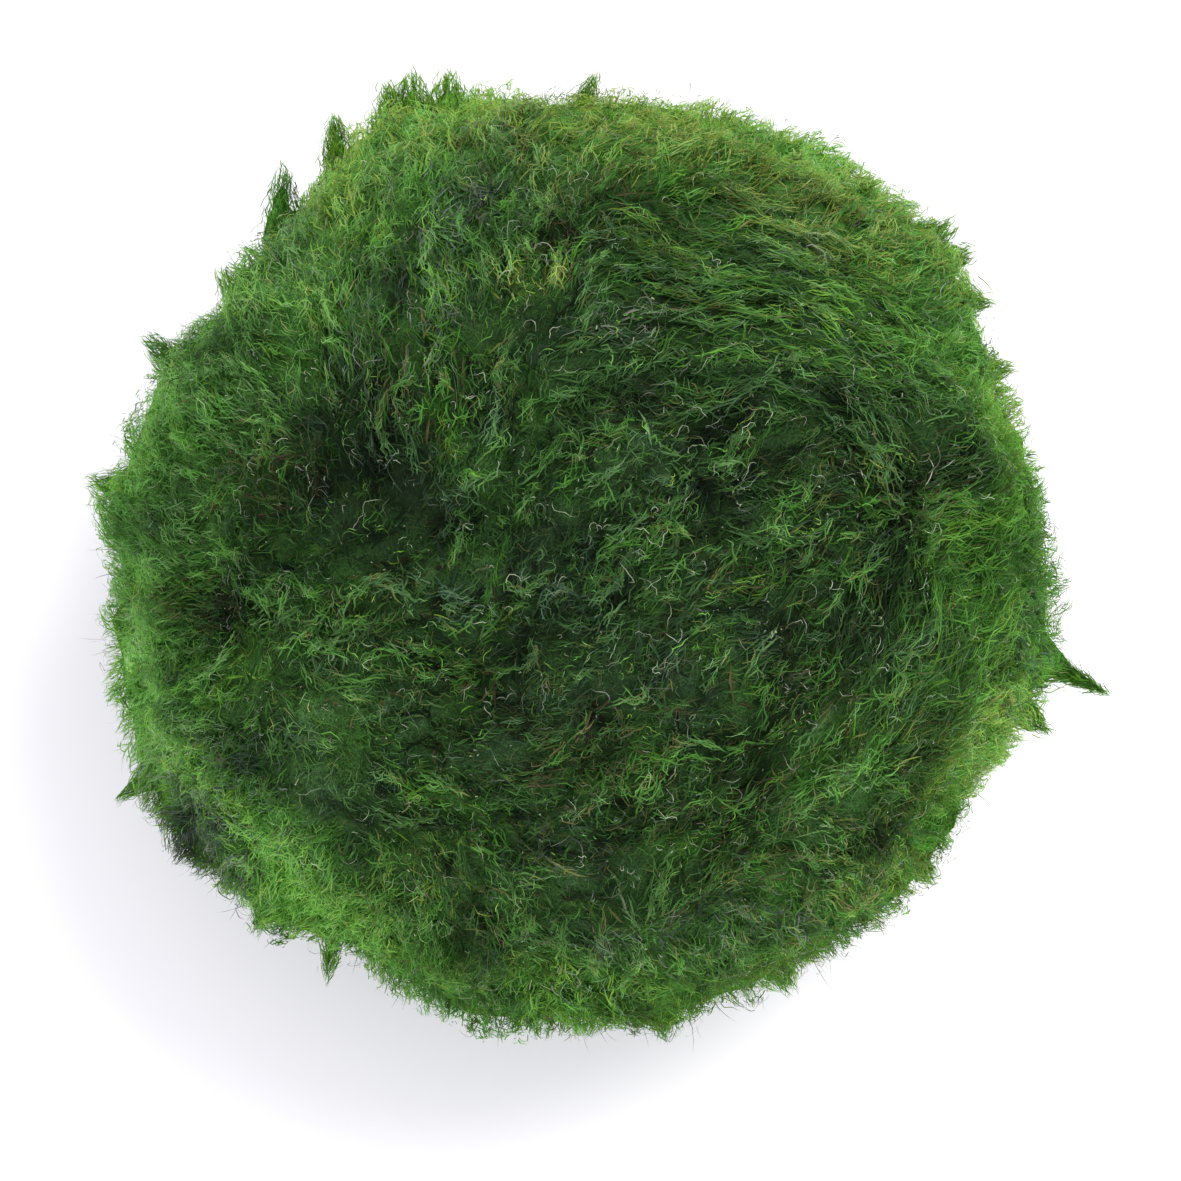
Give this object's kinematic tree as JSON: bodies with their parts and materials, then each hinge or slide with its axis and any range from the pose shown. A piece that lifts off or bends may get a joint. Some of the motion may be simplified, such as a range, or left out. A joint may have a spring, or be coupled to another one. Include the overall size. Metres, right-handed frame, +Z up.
{
  "type": "marimo moss ball",
  "caption": "Shaggy green ball of freshwater algae filaments, combed in locks, with a small flat spot that it rests on.",
  "frame": {"origin": "the middle of the flat spot that the ball rests on", "axes": "+Z up; +X towards the side with the longest lock, which makes it the widest way across; +Y towards the back"},
  "size_m": [0.0529, 0.0501, 0.0452],
  "materials": {
    "moss": "matte"
  },
  "bodies": {
    "root": {"moss_ball": "moss"}
  },
  "joints": []
}
